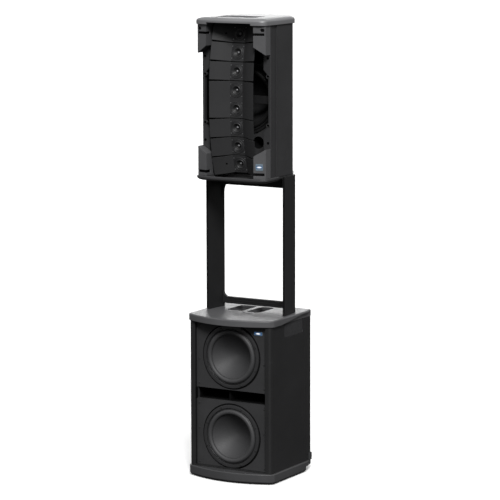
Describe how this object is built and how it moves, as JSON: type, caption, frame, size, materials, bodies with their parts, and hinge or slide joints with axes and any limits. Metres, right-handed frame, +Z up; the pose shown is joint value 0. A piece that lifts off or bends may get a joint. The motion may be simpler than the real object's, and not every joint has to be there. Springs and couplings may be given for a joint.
{
  "type": "column loudspeaker on a bass box",
  "caption": "Portable powered loudspeaker: a folding array of small drivers and a woofer in a slim box, on a U-shaped stand that plugs into a twin-woofer bass box.",
  "frame": {"origin": "on the floor, at the centre of the whole object seen from above", "axes": "+Z up, the front with the drivers faces -Y, +X to the right of a viewer who faces the front"},
  "size_m": [0.41, 0.45, 1.919],
  "materials": {
    "cabinet_wood": "plywood in fine textured black paint",
    "baffle_wood": "board in flat black paint",
    "cabinet_moulding": "fine textured black moulding",
    "cap_moulding": "dark grey grained moulding, satin",
    "stand_paint": "black powder coat on aluminium",
    "array_plastic": "smooth black moulding, satin",
    "driver_cone": "matt black paper and rubber",
    "woofer_cone": "coated dark grey paper pulp",
    "surround_rubber": "soft black rubber",
    "woofer_frame": "black coated pressed metal",
    "magnet_iron": "coated steel and ferrite",
    "panel_metal": "black coated sheet",
    "heat_sink": "black anodised",
    "control_plastic": "black moulding",
    "knob_plastic": "black soft-touch moulding",
    "status_lens": "pale blue lens, lit"
  },
  "bodies": {
    "subwoofer_box": {"sub_cabinet": "cabinet_wood", "sub_baffle": "baffle_wood", "sub_port_duct": "baffle_wood", "sub_top_cap": "cap_moulding", "sub_bottom_cap": "cap_moulding", "sub_woofer_upper_frame": "woofer_frame", "sub_woofer_upper_surround": "surround_rubber", "sub_woofer_upper_magnet": "magnet_iron", "sub_woofer_lower_frame": "woofer_frame", "sub_woofer_lower_surround": "surround_rubber", "sub_woofer_lower_magnet": "magnet_iron", "sub_amp_panel": "panel_metal", "sub_heat_sink": "heat_sink", "sub_power_inlet": "control_plastic", "sub_connector_block": "control_plastic", "sub_status_light": "status_lens"},
    "sub_upper_cone": {"sub_woofer_upper_cone": "woofer_cone"},
    "sub_lower_cone": {"sub_woofer_lower_cone": "woofer_cone"},
    "sub_volume_knob": {"sub_volume_knob": "knob_plastic"},
    "sub_polarity_button": {"sub_polarity_button": "knob_plastic"},
    "sub_power_rocker": {"sub_power_rocker": "knob_plastic"},
    "stand": {"stand_left_upright": "stand_paint", "stand_right_upright": "stand_paint", "stand_lower_crossbar": "stand_paint", "stand_upper_crossbar": "stand_paint"},
    "array_box": {"speaker_cabinet": "cabinet_moulding", "speaker_baffle": "baffle_wood", "speaker_top_cap": "cap_moulding", "speaker_bottom_cap": "cap_moulding", "grille_bracket_upper_left": "cap_moulding", "grille_bracket_upper_right": "cap_moulding", "grille_bracket_lower_left": "cap_moulding", "grille_bracket_lower_right": "cap_moulding", "speaker_woofer_frame": "woofer_frame", "speaker_woofer_surround": "surround_rubber", "speaker_woofer_magnet": "magnet_iron", "array_centre_block": "array_plastic", "array_driver_4": "driver_cone", "array_driver_5": "driver_cone", "speaker_amp_panel": "panel_metal", "speaker_heat_sink": "heat_sink", "speaker_power_inlet": "control_plastic", "speaker_connector_block": "control_plastic", "speaker_status_light": "status_lens"},
    "speaker_cone": {"speaker_woofer_cone": "woofer_cone"},
    "array_upper_inner": {"array_module_3": "array_plastic", "array_driver_3": "driver_cone"},
    "array_upper_middle": {"array_module_2": "array_plastic", "array_driver_2": "driver_cone"},
    "array_upper_outer": {"array_module_1": "array_plastic", "array_driver_1": "driver_cone"},
    "array_lower_inner": {"array_module_6": "array_plastic", "array_driver_6": "driver_cone"},
    "array_lower_middle": {"array_module_7": "array_plastic", "array_driver_7": "driver_cone"},
    "array_lower_outer": {"array_module_8": "array_plastic", "array_driver_8": "driver_cone"},
    "speaker_knob_1": {"speaker_level_knob_1": "knob_plastic"},
    "speaker_knob_2": {"speaker_level_knob_2": "knob_plastic"},
    "speaker_power_rocker": {"speaker_power_rocker": "knob_plastic"}
  },
  "joints": [
    {"name": "stand_lift", "type": "slide", "parent": "subwoofer_box", "child": "stand", "axis": [0, 0, 1], "range_m": [0, 0.09]},
    {"name": "array_box_lift", "type": "slide", "parent": "stand", "child": "array_box", "axis": [0, 0, 1], "range_m": [0, 0.05]},
    {"name": "sub_upper_cone_travel", "type": "slide", "parent": "subwoofer_box", "child": "sub_upper_cone", "axis": [0, -1, 0], "range_m": [-0.006, 0.006], "stiffness_N_per_m": 4000, "deforming": ["sub_woofer_upper_surround"]},
    {"name": "sub_lower_cone_travel", "type": "slide", "parent": "subwoofer_box", "child": "sub_lower_cone", "axis": [0, -1, 0], "range_m": [-0.006, 0.006], "stiffness_N_per_m": 4000, "deforming": ["sub_woofer_lower_surround"]},
    {"name": "speaker_cone_travel", "type": "slide", "parent": "array_box", "child": "speaker_cone", "axis": [0, -1, 0], "range_m": [-0.005, 0.005], "stiffness_N_per_m": 4000, "deforming": ["speaker_woofer_surround"]},
    {"name": "upper_fold_inner", "type": "hinge", "parent": "array_box", "child": "array_upper_inner", "pos_m": [0, -0.098, 1.6585], "axis": [1, 0, 0], "range_deg": [0, 5]},
    {"name": "upper_fold_middle", "type": "hinge", "parent": "array_upper_inner", "child": "array_upper_middle", "pos_m": [0, -0.09133, 1.73471], "axis": [1, 0, 0], "range_deg": [0, 5]},
    {"name": "upper_fold_outer", "type": "hinge", "parent": "array_upper_middle", "child": "array_upper_outer", "pos_m": [0, -0.07805, 1.81005], "axis": [1, 0, 0], "range_deg": [0, 5]},
    {"name": "lower_fold_inner", "type": "hinge", "parent": "array_box", "child": "array_lower_inner", "pos_m": [0, -0.098, 1.5055], "axis": [-1, 0, 0], "range_deg": [0, 5]},
    {"name": "lower_fold_middle", "type": "hinge", "parent": "array_lower_inner", "child": "array_lower_middle", "pos_m": [0, -0.09133, 1.42929], "axis": [-1, 0, 0], "range_deg": [0, 5]},
    {"name": "lower_fold_outer", "type": "hinge", "parent": "array_lower_middle", "child": "array_lower_outer", "pos_m": [0, -0.07805, 1.35395], "axis": [-1, 0, 0], "range_deg": [0, 5]},
    {"name": "sub_volume_turn", "type": "hinge", "parent": "subwoofer_box", "child": "sub_volume_knob", "pos_m": [0.062, 0.1723, 0.268], "axis": [0, 1, 0], "range_deg": [-150, 150]},
    {"name": "sub_polarity_press", "type": "slide", "parent": "subwoofer_box", "child": "sub_polarity_button", "axis": [0, -1, 0], "range_m": [0, 0.002], "stiffness_N_per_m": 200},
    {"name": "sub_power_rock", "type": "hinge", "parent": "subwoofer_box", "child": "sub_power_rocker", "pos_m": [0.07, 0.1753, 0.205], "axis": [1, 0, 0], "range_deg": [0, 11]},
    {"name": "level_1_turn", "type": "hinge", "parent": "array_box", "child": "speaker_knob_1", "pos_m": [0.04, 0.1793, 1.572], "axis": [0, 1, 0], "range_deg": [-150, 150]},
    {"name": "level_2_turn", "type": "hinge", "parent": "array_box", "child": "speaker_knob_2", "pos_m": [0.04, 0.1793, 1.515], "axis": [0, 1, 0], "range_deg": [-150, 150]},
    {"name": "speaker_power_rock", "type": "hinge", "parent": "array_box", "child": "speaker_power_rocker", "pos_m": [0.04, 0.1823, 1.415], "axis": [1, 0, 0], "range_deg": [0, 11]}
  ],
  "couplings": [
    {"joint": "upper_fold_middle", "follows": "upper_fold_inner", "ratio": 1},
    {"joint": "upper_fold_outer", "follows": "upper_fold_inner", "ratio": 1},
    {"joint": "lower_fold_middle", "follows": "lower_fold_inner", "ratio": 1},
    {"joint": "lower_fold_outer", "follows": "lower_fold_inner", "ratio": 1}
  ]
}
